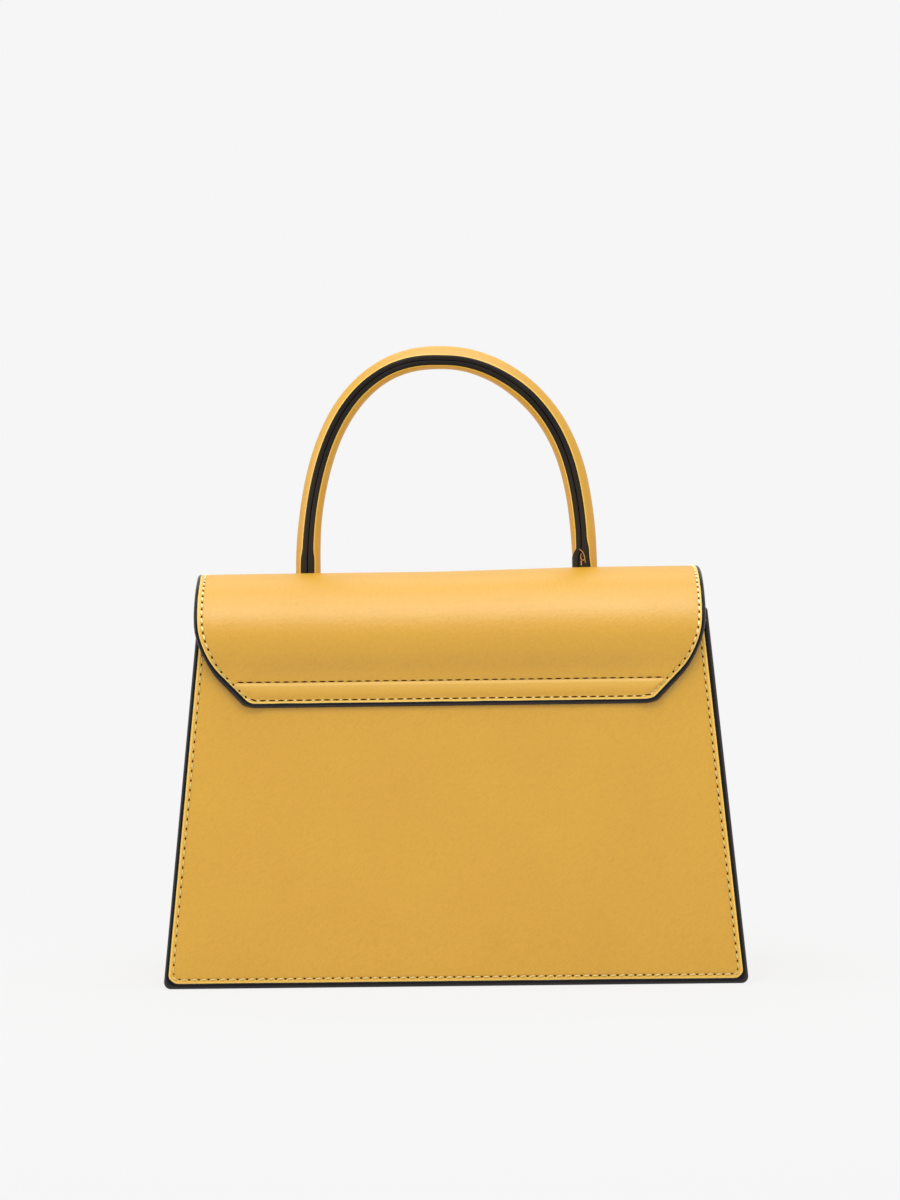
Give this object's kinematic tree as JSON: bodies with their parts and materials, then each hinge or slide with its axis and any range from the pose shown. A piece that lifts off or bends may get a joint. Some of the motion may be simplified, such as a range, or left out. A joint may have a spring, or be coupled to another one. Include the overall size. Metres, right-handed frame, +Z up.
{
  "type": "mini bag",
  "caption": "Stiff trapezoid mini bag with a rolled top handle and a flap that is sewn to the back, rolls over the mouth and opens upwards.",
  "frame": {"origin": "middle of the footprint that the bag stands on", "axes": "+Z up, -Y towards the back panel that the picture shows, +Y towards the front, +X to the right as seen from behind"},
  "size_m": [0.2534, 0.0958, 0.2819],
  "materials": {
    "leather": "smooth yellow leather with a low sheen",
    "edge_paint": "thick glossy black edge paint",
    "lining": "plain woven lining",
    "board": "bonded fibre board",
    "core": "twisted cotton core",
    "snap_metal": "light gold plating"
  },
  "bodies": {
    "bag_body": {"back_panel": "leather", "back_board": "board", "back_edge": "edge_paint", "front_panel": "leather", "front_board": "board", "front_edge": "edge_paint", "side_gusset_left": "leather", "side_gusset_right": "leather", "base_panel": "leather", "base_board": "board", "lining_bag": "lining", "flap_tail": "leather", "flap_tail_backing": "leather", "flap_tail_edge": "edge_paint", "snap_socket": "snap_metal", "snap_socket_washer": "snap_metal"},
    "flap": {"flap_cover": "leather", "flap_board": "board", "flap_lining": "lining", "flap_edge": "edge_paint", "handle_sleeve": "leather", "handle_core": "core", "handle_seam_inner": "edge_paint", "handle_seam_outer": "edge_paint", "tab_rivet_left": "snap_metal", "tab_rivet_right": "snap_metal", "snap_stud": "snap_metal", "snap_stud_washer": "snap_metal"}
  },
  "joints": [
    {"name": "flap_hinge", "type": "hinge", "parent": "bag_body", "child": "flap", "pos_m": [0, -0.04267, 0.15939], "axis": [1, 0, 0], "range_deg": [0, 150]}
  ]
}
